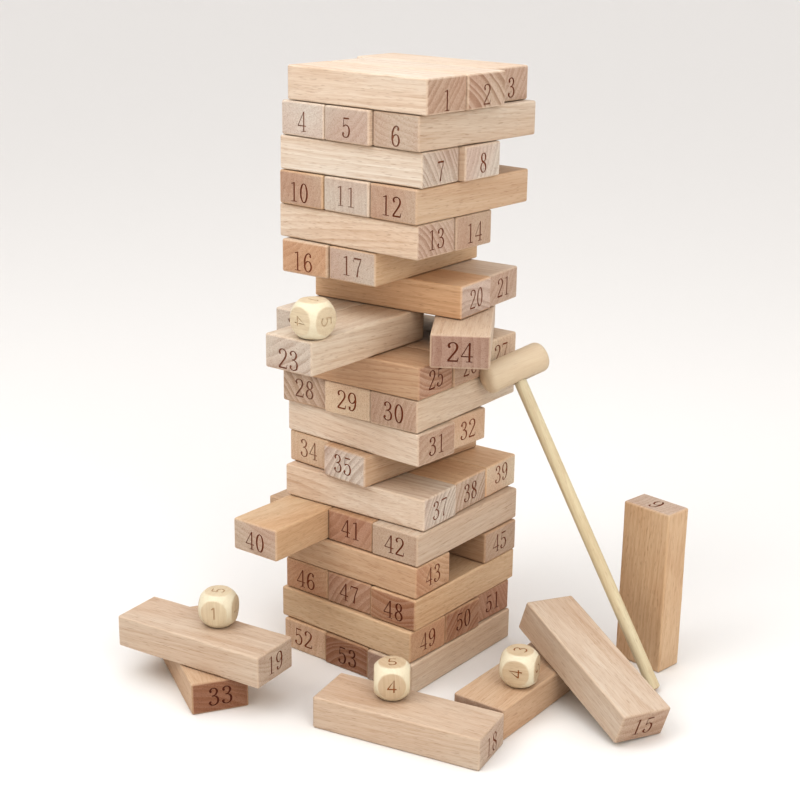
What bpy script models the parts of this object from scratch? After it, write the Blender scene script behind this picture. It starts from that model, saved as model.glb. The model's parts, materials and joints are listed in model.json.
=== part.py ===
"""A tumbling tower part way through a game: 54 numbered blocks, four dice and a mallet.

Metres, +Z up. The origin is on the floor, at the middle of the tower's footprint.
Three blocks lie side by side in each of 18 courses, and each course lies across the one below.
Blocks are numbered from the top left. Courses 1, 3, 5 ... point their numbered ends to +X,
and courses 2, 4, 6 ... point them to -Y.
"""
import math

import bmesh
import bpy
from mathutils import Matrix, Vector

MM = 0.001

# Driving dimensions.
BLOCK_LENGTH = 0.0750
BLOCK_WIDTH = 0.0245
BLOCK_THICKNESS = 0.0142
EASED_EDGE = 0.0009
GAP = 0.0003                # air between two pieces that touch
DIE_SIDE = 0.0150
DIE_FLAT_RADIUS = 0.0055    # the round flat left on each face once the corners are rounded off
HEAD_LENGTH = 0.0324
HEAD_RADIUS = 0.0067
HEAD_ROUNDING = 0.0035
HEAD_CROWN = 0.0010         # how far the middle of an end stands out
HANDLE_RADIUS = 0.00275
HANDLE_REACH = 0.1518       # from the foot to the middle of the head
HANDLE_PAST_MIDDLE = 0.0030
HANDLE_EASE = 0.0005

COURSE_COUNT = 18
BLOCKS_PER_COURSE = 3
COURSE_PITCH = BLOCK_THICKNESS + GAP
ROW_PITCH = BLOCK_WIDTH + GAP

# Each course from the top: its twist in degrees, its shift sideways in mm, and how far each
# of its blocks is drawn towards its numbered end, in mm. None is a block that has been taken.
COURSES = (
    (-2.5, 0.5, (4.0, 4.5, -2.5)),
    (-3.5, 1.0, (0.0, 0.0, -2.0)),
    (0.0, 1.5, (-1.5, 1.5, None)),
    (-2.0, -1.0, (-0.5, -1.0, -1.5)),
    (-1.0, 2.0, (-2.5, -2.0, None)),
    (1.5, -1.0, (-1.5, -2.5, None)),
    (5.0, 0.0, (None, -1.0, -2.0)),
    (1.0, -0.5, (3.5, 38.0, None)),
    (2.0, -0.5, (-2.0, -1.5, -2.0)),
    (2.0, -2.5, (-3.0, -1.0, -0.5)),
    (-2.5, 3.0, (0.5, -2.5, None)),
    (-4.0, 1.0, (-3.5, 0.5, None)),
    (2.5, 2.0, (-0.5, -1.5, -1.5)),
    (0.5, 1.5, (34.0, 0.5, 1.0)),
    (0.5, -2.0, (1.0, -29.5, 2.0)),
    (0.5, 2.0, (1.0, 1.5, 2.5)),
    (-1.5, -3.5, (2.0, 2.0, 0.0)),
    (0.5, 2.5, (3.0, 4.0, 5.0)),
)

# Block 24 is still in course 8, but turned: its middle, and the heading of its numbered end.
TURNED_BLOCK = 24
TURNED_PLACE = (0.0299, 0.0039)
TURNED_HEADING = -56.7

# Blocks that lie flat on the floor: the middle, and the heading of the numbered end.
FLOOR_BLOCKS = {
    18: (0.0592, -0.0697, 11.6),
    33: (-0.0463, -0.0840, -30.6),
    36: (0.0788, -0.0118, -88.3),
}
# Block 19 lies across block 33.
CROSSED_BLOCK = (19, -0.0344, -0.0917, 6.8)
# Block 9 stands on its plain end, with its wide faces turned by this much from +Y.
STANDING_BLOCK = (9, 0.1006, 0.0530, -8.0)
# Block 15 leans on the long edge of block 36, with its numbered end dipped to the floor.
LEANING_BLOCK = (15, 0.1032, 0.0005, -22.5)
LEANING_DIP = 16.4
LEANING_ROLL = -5.2
LEANING_SETTLE = 0.0003     # its eased corner lets it down by this much

# Dice: the block each lies on, its place, the course its block is in (0 is the floor), turn.
DICE = {
    "die_on_18": (0.0494, -0.0677, 1, -52.0),
    "die_on_19": (-0.0312, -0.0857, 2, -62.0),
    "die_on_36": (0.0837, -0.0253, 1, -70.0),
    "die_on_23": (0.0076, -0.0681, 11, -4.0),
}

# The mallet leans on the tower: the place of its foot, its lean from upright, the heading of
# that lean, and the turn of its head about the handle.
MALLET_FOOT = (0.1182, 0.0289)
MALLET_LEAN = 28.3
MALLET_HEADING = -173.6
MALLET_HEAD_TURN = -121.8

WOODS = {
    "pale_wood": (0.74, 0.56, 0.41),
    "warm_wood": (0.66, 0.46, 0.32),
    "dark_wood": (0.48, 0.30, 0.20),
    "dice_wood": (0.78, 0.63, 0.42),
    "mallet_wood": (0.76, 0.58, 0.39),
    "dowel_wood": (0.74, 0.60, 0.36),
}
PALE_BLOCKS = (8, 11, 20, 37, 40)
DARK_BLOCKS = (10, 12, 16, 33, 41, 46, 47, 48, 50, 51, 53)


def clear_objects():
    """Remove whatever the file starts with."""
    for thing in list(bpy.data.objects):
        bpy.data.objects.remove(thing, do_unlink=True)


def wood(name):
    """A Principled material of one of the woods, made once."""
    if name in bpy.data.materials:
        return bpy.data.materials[name]
    material = bpy.data.materials.new(name)
    material.use_nodes = True
    shader = material.node_tree.nodes["Principled BSDF"]
    shader.inputs["Base Color"].default_value = (*WOODS[name], 1.0)
    shader.inputs["Roughness"].default_value = 0.6
    shader.inputs["Metallic"].default_value = 0.0
    return material


def add_object(name, shape, wood_name):
    """Link a new object that has a bmesh as its shape."""
    mesh = bpy.data.meshes.new(name)
    bmesh.ops.recalc_face_normals(shape, faces=shape.faces)
    shape.to_mesh(mesh)
    shape.free()
    mesh.materials.append(wood(wood_name))
    thing = bpy.data.objects.new(name, mesh)
    bpy.context.collection.objects.link(thing)
    return thing


def cuboid(length, width, height):
    """A box about its own middle."""
    shape = bmesh.new()
    bmesh.ops.create_cube(shape, size=1.0)
    bmesh.ops.scale(shape, vec=(length, width, height), verts=shape.verts)
    return shape


def turned(profile, segments):
    """A solid of revolution about local Z. The profile is (height, radius), low to high."""
    shape = bmesh.new()
    bottom = shape.verts.new((0.0, 0.0, profile[0][0]))
    top = shape.verts.new((0.0, 0.0, profile[-1][0]))
    rings = []
    for height, radius in profile[1:-1]:
        ring = []
        for step in range(segments):
            angle = math.tau * step / segments
            ring.append(shape.verts.new((radius * math.cos(angle), radius * math.sin(angle), height)))
        rings.append(ring)
    for step in range(segments):
        after = (step + 1) % segments
        shape.faces.new((bottom, rings[0][after], rings[0][step]))
        shape.faces.new((top, rings[-1][step], rings[-1][after]))
        for lower, upper in zip(rings, rings[1:]):
            shape.faces.new((lower[step], lower[after], upper[after], upper[step]))
    return shape


def smooth(thing, angle):
    """Shade a round piece smooth, and keep its real edges."""
    thing.data.shade_smooth()
    thing.data.set_sharp_from_angle(angle=math.radians(angle))


def add_cutter(name, shape):
    """A guide for a Boolean, which isn't part of the object."""
    cutter = add_object(name, shape, "pale_wood")
    cutter.hide_render = True
    cutter.display_type = "WIRE"
    return cutter


def add_boolean(thing, cutter, operation):
    """Combine a piece with its cutter."""
    modifier = thing.modifiers.new("shape", "BOOLEAN")
    modifier.operation = operation
    modifier.solver = "EXACT"
    modifier.object = cutter


def tone_of(number):
    """The wood a block is cut from."""
    if number in PALE_BLOCKS:
        return "pale_wood"
    if number in DARK_BLOCKS:
        return "dark_wood"
    return "warm_wood"


def add_block(number, place, rotation):
    """One block. Its numbered end is local +X, and its thickness is along local Z."""
    shape = cuboid(BLOCK_LENGTH, BLOCK_WIDTH, BLOCK_THICKNESS)
    block = add_object(f"block_{number:02d}", shape, tone_of(number))
    bevel = block.modifiers.new("eased edges", "BEVEL")
    bevel.width = EASED_EDGE
    bevel.segments = 2
    block.location = place
    block.rotation_euler = rotation
    return block


def course_floor(course):
    """The height of the underside of a course. Course 18 stands on the floor."""
    return (COURSE_COUNT - course) * COURSE_PITCH


def add_course(course):
    """The blocks of one course that are still in line with it."""
    twist, shift, pulls = COURSES[course - 1]
    if course % 2:
        forward, sideways, heading = Vector((1, 0, 0)), Vector((0, 1, 0)), 0.0
    else:
        forward, sideways, heading = Vector((0, -1, 0)), Vector((1, 0, 0)), -90.0
    spin = Matrix.Rotation(math.radians(twist), 3, "Z")
    height = Vector((0, 0, course_floor(course) + BLOCK_THICKNESS / 2))
    for row, pull in enumerate(pulls):
        if pull is None:
            continue
        across = (row - 1) * ROW_PITCH + shift * MM
        place = spin @ (forward * pull * MM + sideways * across) + height
        number = (course - 1) * BLOCKS_PER_COURSE + row + 1
        add_block(number, place, (0.0, 0.0, math.radians(heading + twist)))


def add_tower():
    """All the courses, and the one block that is turned in its course."""
    for course in range(1, COURSE_COUNT + 1):
        add_course(course)
    course = (TURNED_BLOCK - 1) // BLOCKS_PER_COURSE + 1
    height = course_floor(course) + BLOCK_THICKNESS / 2
    add_block(TURNED_BLOCK, (*TURNED_PLACE, height), (0.0, 0.0, math.radians(TURNED_HEADING)))


def add_flat_block(number, x, y, heading, layer):
    """A loose block that lies flat, on the floor (layer 0) or on another flat block."""
    height = layer * COURSE_PITCH + BLOCK_THICKNESS / 2
    add_block(number, (x, y, height), (0.0, 0.0, math.radians(heading)))


def add_standing_block():
    """A block that stands on its plain end, with its numbered end up."""
    number, x, y, heading = STANDING_BLOCK
    rotation = Matrix.Rotation(math.radians(heading + 90.0), 3, "Z")
    upright = rotation @ Matrix.Rotation(math.radians(-90.0), 3, "Y")
    block = add_block(number, (x, y, BLOCK_LENGTH / 2), (0.0, 0.0, 0.0))
    block.rotation_euler = upright.to_euler()


def add_leaning_block():
    """A block with its numbered end on the floor and its other end up on block 36."""
    number, x, y, heading = LEANING_BLOCK
    spin = Matrix.Rotation(math.radians(heading), 3, "Z")
    dip = Matrix.Rotation(math.radians(LEANING_DIP), 3, "Y")
    roll = Matrix.Rotation(math.radians(LEANING_ROLL), 3, "X")
    turn = spin @ dip @ roll
    half = (BLOCK_LENGTH / 2, BLOCK_WIDTH / 2, BLOCK_THICKNESS / 2)
    height = sum(abs(turn[2][axis]) * half[axis] for axis in range(3)) - LEANING_SETTLE
    block = add_block(number, (x, y, height), (0.0, 0.0, 0.0))
    block.rotation_euler = turn.to_euler()


def add_loose_blocks():
    """The blocks that have been taken from the tower."""
    for number, (x, y, heading) in FLOOR_BLOCKS.items():
        add_flat_block(number, x, y, heading, 0)
    number, x, y, heading = CROSSED_BLOCK
    add_flat_block(number, x, y, heading, 1)
    add_standing_block()
    add_leaning_block()


def add_die(name, x, y, layers, heading):
    """A cube whose corners and edges a sphere rounds off, down to a round flat on each face."""
    die = add_object(name, cuboid(DIE_SIDE, DIE_SIDE, DIE_SIDE), "dice_wood")
    ball_shape = bmesh.new()
    ball_radius = math.hypot(DIE_SIDE / 2, DIE_FLAT_RADIUS)
    bmesh.ops.create_uvsphere(ball_shape, u_segments=24, v_segments=12, radius=ball_radius)
    ball = add_cutter(f"{name}_ball", ball_shape)
    ball.parent = die
    add_boolean(die, ball, "INTERSECT")
    smooth(die, 25.0)
    die.location = (x, y, layers * COURSE_PITCH + DIE_SIDE / 2)
    die.rotation_euler = (0.0, 0.0, math.radians(heading))


def head_profile():
    """The mallet head's outline: a straight barrel with rounded, slightly crowned ends."""
    steps = 4
    half = HEAD_LENGTH / 2
    shoulder = half - HEAD_CROWN - HEAD_ROUNDING
    inner = HEAD_RADIUS - HEAD_ROUNDING
    arc = []
    for step in range(steps + 1):
        angle = math.radians(80.0) * step / steps
        height = shoulder + HEAD_ROUNDING * math.sin(angle)
        arc.append((height, inner + HEAD_ROUNDING * math.cos(angle)))
    lower = [(-height, radius) for height, radius in reversed(arc)]
    return [(-half, 0.0)] + lower + arc + [(half, 0.0)]


def add_mallet():
    """The mallet on its foot, an empty at the end of the handle that it tips about."""
    lean = math.radians(MALLET_LEAN)
    foot = bpy.data.objects.new("mallet_foot", None)
    bpy.context.collection.objects.link(foot)
    foot.location = (*MALLET_FOOT, (HANDLE_RADIUS - HANDLE_EASE) * math.sin(lean))
    spin = Matrix.Rotation(math.radians(MALLET_HEADING), 3, "Z")
    foot.rotation_euler = (spin @ Matrix.Rotation(lean, 3, "Y")).to_euler()

    head = add_object("mallet_head", turned(head_profile(), 32), "mallet_wood")
    head.parent = foot
    head.location = (0.0, 0.0, HANDLE_REACH)
    lie_across = Matrix.Rotation(math.radians(90.0), 3, "Y")
    turn = Matrix.Rotation(math.radians(MALLET_HEAD_TURN), 3, "Z")
    head.rotation_euler = (turn @ lie_across).to_euler()

    bore_radius = HANDLE_RADIUS + GAP
    bore_top = HANDLE_REACH + HANDLE_PAST_MIDDLE + GAP
    bore_bottom = HANDLE_REACH - 2 * HEAD_RADIUS
    bore_profile = [(bore_bottom, 0.0), (bore_bottom, bore_radius), (bore_top, bore_radius), (bore_top, 0.0)]
    bore = add_cutter("mallet_bore", turned(bore_profile, 24))
    bore.parent = foot
    add_boolean(head, bore, "DIFFERENCE")
    smooth(head, 35.0)

    top = HANDLE_REACH + HANDLE_PAST_MIDDLE
    chamfer_radius = HANDLE_RADIUS - HANDLE_EASE
    dowel_profile = [(0.0, 0.0), (0.0, chamfer_radius), (HANDLE_EASE, HANDLE_RADIUS),
                     (top - HANDLE_EASE, HANDLE_RADIUS), (top, chamfer_radius), (top, 0.0)]
    handle = add_object("mallet_handle", turned(dowel_profile, 24), "dowel_wood")
    handle.parent = foot
    smooth(handle, 35.0)


def main():
    clear_objects()
    add_tower()
    add_loose_blocks()
    for name, (x, y, layers, heading) in DICE.items():
        add_die(name, x, y, layers, heading)
    add_mallet()


main()
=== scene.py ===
"""Looks for the tumbling tower: engraved hardwood blocks, four dice and a mallet.

The CAD model gives each detailed piece its place, and the blocks and the mallet their axes.
All lengths are metres in the row frame, except that carved digits and the "grain" attribute,
which the wood materials read, are in millimetres.
"""
import json
import math
import random

import bmesh
import bpy
from mathutils import Matrix, Vector
from mathutils.geometry import delaunay_2d_cdt

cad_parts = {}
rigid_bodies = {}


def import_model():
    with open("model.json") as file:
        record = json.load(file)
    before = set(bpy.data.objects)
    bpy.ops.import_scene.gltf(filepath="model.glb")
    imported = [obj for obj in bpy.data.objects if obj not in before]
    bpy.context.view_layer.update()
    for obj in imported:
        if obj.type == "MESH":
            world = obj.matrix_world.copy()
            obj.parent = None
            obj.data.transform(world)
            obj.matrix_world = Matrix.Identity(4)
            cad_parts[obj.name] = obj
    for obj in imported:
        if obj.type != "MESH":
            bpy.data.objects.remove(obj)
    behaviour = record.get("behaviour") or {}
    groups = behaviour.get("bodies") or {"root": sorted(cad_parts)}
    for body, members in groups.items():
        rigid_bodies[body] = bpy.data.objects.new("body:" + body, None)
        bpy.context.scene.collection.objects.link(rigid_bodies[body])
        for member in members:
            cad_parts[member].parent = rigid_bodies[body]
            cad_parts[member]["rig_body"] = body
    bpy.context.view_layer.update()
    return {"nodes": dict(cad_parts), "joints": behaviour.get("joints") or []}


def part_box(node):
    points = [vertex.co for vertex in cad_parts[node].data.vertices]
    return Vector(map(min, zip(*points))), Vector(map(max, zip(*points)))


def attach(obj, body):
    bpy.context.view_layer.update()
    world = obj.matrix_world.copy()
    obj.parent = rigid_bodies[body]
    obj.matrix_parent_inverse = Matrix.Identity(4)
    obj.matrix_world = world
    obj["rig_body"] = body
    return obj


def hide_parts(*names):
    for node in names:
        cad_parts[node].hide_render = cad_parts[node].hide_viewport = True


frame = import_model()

MM = 0.001

# ---------------------------------------------------------------- shapes of the pieces
BLOCK_LENGTH, BLOCK_WIDTH, BLOCK_THICKNESS = 0.0750, 0.0245, 0.0142
BLOCK_COUNT = 54
EDGE_RADIUS = 0.0009
EDGE_WEAR = 0.22            # how much the rounding varies along a block, as a share of it
TIGHTEST_CORNER = 0.15      # the rounding left at the corners of an end, as a share of it
CORNER_STEPS = 4
WEAR_STATIONS = 7
ENGRAVING_DEPTH = 0.40      # mm
DIE_SIDE = 0.0150
DIE_FLAT_RADIUS = 0.0055
DIE_SPOKES, DIE_RINGS = 48, 4
DIE_ENGRAVING_DEPTH = 0.35  # mm
HEAD_LENGTH, HEAD_RADIUS, HEAD_ROUNDING, HEAD_CROWN = 0.0324, 0.0067, 0.0035, 0.0010
HEAD_SHOULDER_ANGLE = 80.0  # how far round the head's ends the rounding goes, in degrees
HEAD_CROWN_RING = (0.00012, 0.45)   # a ring on the crown: its depth, and its share of the width
HEAD_SPOKES, HEAD_STEPS = 64, 8
HEAD_END_GRAIN, HANDLE_END_GRAIN = 0.6, 1.0     # how much their ends look like end grain
HANDLE_RADIUS, HANDLE_REACH, HANDLE_PAST_MIDDLE, HANDLE_EASE = 0.00275, 0.1518, 0.0030, 0.0005
HANDLE_SPOKES, HANDLE_STATIONS = 40, 12
BORE_GAP = 0.0003

# The least angle, in degrees, of an edge that shading keeps sharp.
CUT_EDGE_ANGLE = 40.0
TURNED_EDGE_ANGLE = 35.0

# ---------------------------------------------------------------- digits of the blocks
DIGIT_HEIGHT = 8.3          # mm
DIGIT_ADVANCE = 0.685       # from one digit to the next, as a share of the height
THICK, HAIR = 0.112, 0.048  # the widths of upright and level strokes, as shares of the height
BALL = 0.062                # radius of the round end of a stroke
CURVE_STEPS = 3             # pieces of a curve between two of its points
OVAL_STEPS, BALL_STEPS, ARC_STEPS = 20, 10, 10

# The digits' strokes, in a box 0.6 wide and 1 high. A "curve" or "oval" is thick where it runs
# upright, a "bar" has the widths of its two ends, and a "ball" is the round end of a curve.
DIGITS = {
    "0": [("oval", (0.30, 0.495), 0.215, 0.475)],
    "1": [("bar", (0.31, 0.985), 0.095, (0.31, 0.03), 0.095),
          ("bar", (0.32, 0.965), 0.050, (0.13, 0.895), 0.045),
          ("bar", (0.12, 0.020), 0.038, (0.50, 0.020), 0.038)],
    "2": [("curve", (0.12, 0.74), (0.09, 0.83), (0.15, 0.93), (0.29, 0.975), (0.44, 0.92),
           (0.51, 0.76), (0.45, 0.57), (0.31, 0.38), (0.16, 0.19), (0.06, 0.05)),
          ("ball", (0.125, 0.755)),
          ("bar", (0.04, 0.045), 0.080, (0.52, 0.045), 0.080),
          ("bar", (0.525, 0.03), 0.060, (0.570, 0.24), 0.028)],
    "3": [("curve", (0.13, 0.78), (0.11, 0.86), (0.18, 0.945), (0.29, 0.975), (0.41, 0.92),
           (0.47, 0.78), (0.41, 0.63), (0.31, 0.56), (0.20, 0.535)),
          ("ball", (0.135, 0.795)),
          ("curve", (0.24, 0.535), (0.37, 0.52), (0.48, 0.43), (0.52, 0.27), (0.46, 0.10),
           (0.30, 0.025), (0.17, 0.05), (0.09, 0.14), (0.10, 0.22)),
          ("ball", (0.120, 0.205))],
    "4": [("bar", (0.425, 0.985), 0.090, (0.425, 0.03), 0.090),
          ("bar", (0.420, 0.975), 0.045, (0.025, 0.285), 0.040),
          ("bar", (0.010, 0.285), 0.052, (0.590, 0.285), 0.052),
          ("bar", (0.265, 0.020), 0.038, (0.585, 0.020), 0.038)],
    "5": [("bar", (0.125, 0.930), 0.085, (0.500, 0.940), 0.070),
          ("bar", (0.145, 0.950), 0.042, (0.120, 0.520), 0.042),
          ("curve", (0.12, 0.53), (0.20, 0.595), (0.32, 0.62), (0.45, 0.54), (0.515, 0.34),
           (0.45, 0.11), (0.30, 0.025), (0.16, 0.05), (0.09, 0.14), (0.10, 0.22)),
          ("ball", (0.120, 0.205))],
    "6": [("curve", (0.47, 0.81), (0.45, 0.92), (0.34, 0.975), (0.20, 0.88), (0.11, 0.68),
           (0.085, 0.42), (0.12, 0.18), (0.20, 0.06), (0.31, 0.025), (0.43, 0.08),
           (0.51, 0.22), (0.515, 0.36), (0.45, 0.51), (0.34, 0.57), (0.20, 0.52), (0.10, 0.36)),
          ("ball", (0.460, 0.825))],
    "7": [("bar", (0.085, 0.930), 0.090, (0.560, 0.930), 0.080),
          ("bar", (0.100, 0.950), 0.045, (0.070, 0.760), 0.035),
          ("bar", (0.545, 0.940), 0.045, (0.370, 0.480), 0.060),
          ("bar", (0.370, 0.490), 0.060, (0.300, 0.060), 0.105),
          ("ball", (0.300, 0.055))],
    "8": [("oval", (0.30, 0.755), 0.165, 0.215),
          ("oval", (0.30, 0.270), 0.205, 0.245),
          ("curve", (0.14, 0.80), (0.18, 0.65), (0.31, 0.52), (0.44, 0.40), (0.51, 0.24))],
}
DIGIT_BOX = (0.6, 1.0)

# A number isn't always in the middle of its end: how far it sits to the right and up, in mm.
NUMBER_SHIFTS = {
    1: (0.0, -2.0), 2: (0.0, -1.6), 3: (0.6, -1.4), 4: (-0.2, -0.8), 5: (0.0, -0.8),
    6: (0.1, -1.9), 7: (-0.2, -1.3), 8: (0.2, -0.6), 10: (-1.0, -1.4), 12: (-0.8, -0.9),
    14: (0.3, -0.8), 16: (-0.8, -1.5), 18: (0.0, -0.9), 23: (0.0, -2.0), 34: (-0.6, 0.2),
    35: (-0.8, 0.2), 37: (-0.4, 0.0), 39: (0.4, 1.3), 40: (0.0, -0.9), 41: (0.5, 0.6),
    43: (0.0, 0.4), 45: (-0.5, 0.2), 46: (-0.6, -0.9), 48: (0.6, -0.4), 50: (0.4, 0.4),
    52: (-1.0, 0.0), 53: (0.6, -0.6),
}

# The dice have plain thin digits, each made of bars of one width and of round curves.
DIE_DIGIT_HEIGHT = 5.8      # mm
DIE_DIGIT_BREADTH = 1.2     # how many times as broad they are as they are drawn
DIE_LINE = 0.100            # the width of their strokes, as a share of the height

# ---------------------------------------------------------------- woods
# Colours of sanded timber, as a screen shows them, and the blocks that have them: along the
# grain, and across it at the ends. A block that isn't listed has the first tone. A few tones
# also carry painted shade for blocks whose faces lie in shade, as noted at them.
SIDE_TONES = {
    "honey": ((202, 180, 156), ()),
    "chalk": ((219, 209, 196), (1, 2, 3, 4, 5, 7, 8, 11, 13, 21, 22, 31, 37)),
    "cream": ((212, 200, 184), (16, 23, 24, 27, 29, 30, 54)),
    # Painted shade: this warm orange tone stands for the shaded faces of blocks 20, 38 and 39.
    "shaded_peach": ((222, 196, 166), (20, 38, 39)),
    "fawn": ((205, 191, 175), (6, 14, 15, 18, 19, 32, 42)),
    "straw": ((210, 188, 160), (9, 10, 17, 34, 40, 46, 48, 49, 52)),
    # Block 45's tan is partly its wood and partly painted shade, for the deep shade on its faces.
    "tan": ((190, 164, 138), (25, 28, 41, 45, 47, 50, 51, 53)),
}
END_TONES = {
    "clay": ((190, 170, 151), ()),
    "chalk": ((208, 201, 191), (4, 8, 20, 35, 37)),
    "cream": ((199, 189, 177), (5, 7, 11, 17, 22, 23)),
    "fawn": ((196, 182, 166), (3, 6, 9, 13, 18, 19, 21, 38, 40)),
    "ivory": ((218, 206, 185), (27, 39)),
    "gold": ((211, 193, 169), (29, 32, 34, 52)),
    "honey": ((200, 170, 141), (16, 43, 46, 49)),
    "dust": ((172, 151, 136), (24, 54)),
    "umber": ((184, 153, 130), (25, 41, 47, 51)),
    "russet": ((172, 136, 108), (48, 50)),
    "bark": ((153, 115, 89), (33, 53)),
}

# The mallet's tones, along and across the grain.
HEAD_TONES = ((209, 194, 171), (207, 187, 158))
HANDLE_TONES = ((214, 207, 183), (196, 166, 128))

# Where a block's growth rings come from: the heading of the tree's heart in the numbered
# face, in degrees from the right, its distance in mm, and how strongly the rings show.
# The other blocks draw theirs from their own seed.
HEARTS = {
    1: (140.0, 60.0, 0.45),
    2: (-140.0, 70.0, 1.00),
    3: (150.0, 40.0, 0.40),
    7: (-145.0, 45.0, 0.70),
    8: (160.0, 60.0, 0.50),
    13: (-140.0, 60.0, 0.60),
    15: (100.0, 50.0, 0.35),
    18: (95.0, 45.0, 0.30),
    19: (80.0, 50.0, 0.35),
    20: (-100.0, 35.0, 0.60),
    23: (120.0, 50.0, 0.50),
    25: (80.0, 35.0, 0.60),
    28: (-145.0, 60.0, 0.70),
    35: (-35.0, 70.0, 0.90),
    37: (-30.0, 60.0, 0.85),
    38: (-25.0, 80.0, 0.75),
    40: (70.0, 45.0, 0.35),
    43: (60.0, 40.0, 0.35),
    47: (-40.0, 60.0, 0.50),
    48: (100.0, 30.0, 0.45),
    50: (-45.0, 60.0, 0.50),
    53: (-80.0, 26.0, 0.40),
}
RING_STRENGTH = (0.08, 0.35)
DIE_RING_STRENGTH = 0.25
RING_SPACING = (2.0, 4.0)   # mm
RING_WANDER = 8.0           # how many mm a growth ring may stray along and round the tree
YEAR_DRIFT = 3.0            # how far good and bad years shift the rings, in rings
HEART_DISTANCE = (30.0, 90.0)
GRAIN_SLOPE = 0.08          # the most that the fibres run out of line with a block
FIGURE_SEEDS = (0.0, 90.0)  # the range of the seeds of the rings and streaks
HEAD_FIGURE = (2.6, 0.25, 12.0)     # the rings' spacing in mm, their strength, and the seed
HANDLE_FIGURE = (2.2, 0.45, 31.0)
BLOCK_SEED, MALLET_SEED = 1000, 77  # for the random draws; block 7 draws from seed 1007

# The engraving is burnt brown, on some blocks less than fully, and on the dice to a lighter
# brown. These two browns tint the wood's own tone, so it is darkest on dark wood.
WOOD_SCORCH = ((190, 112, 58), (130, 63, 24))
DIE_SCORCH = ((243, 183, 104), (189, 126, 60))
BURN = {2: 0.70, 4: 0.80, 5: 0.85, 6: 0.85, 11: 0.60, 14: 0.85, 16: 0.85, 17: 0.80, 23: 0.85,
        28: 0.70, 34: 0.75}

# The woods: how strongly they are streaked, the noise level at which a pore opens (a higher one
# gives fewer pores), their least roughness, the tint of their darker clouds, and their burnt
# browns.
WOODS = {
    "sanded_hardwood": (0.65, 0.66, 0.46, (250, 232, 216), WOOD_SCORCH),
    "dice_wood": (0.20, 0.72, 0.38, (250, 240, 220), DIE_SCORCH),
    "mallet_wood": (0.25, 0.74, 0.36, (250, 238, 220), WOOD_SCORCH),
    "dowel_wood": (0.45, 0.68, 0.42, (244, 222, 186), WOOD_SCORCH),
}

# Tints that multiply a wood's own tone, for what shows along the grain ...
BROWN_FIBRE = (224, 204, 186)
LONG_RING = (208, 178, 152)
LONG_PORE = (170, 130, 100)
# ... and across it.
PINK_CLOUD = (246, 232, 228)
CUT_RING = (196, 168, 150)
CUT_FIBRE = (214, 190, 174)
CUT_PORE = (176, 140, 118)
# The pale early wood between two rings of an end, as it shows.
EARLY_WOOD = (226, 212, 200)
# Rounded edges, partly worn smooth and partly a painted highlight where light catches them: their
# paler tint, and its share.
RIM_WEAR_AND_HIGHLIGHT, RIM_WEAR_AND_HIGHLIGHT_SHARE = (255, 244, 232), 0.25
RELIEF = 0.00012            # how deep the fibres and pores are


def linear(colour):
    """A screen colour, 0 to 255, as the linear values that shaders use."""
    values = []
    for part in colour:
        share = part / 255
        values.append(share / 12.92 if share <= 0.04045 else ((share + 0.055) / 1.055) ** 2.4)
    return Vector(values)


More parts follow.
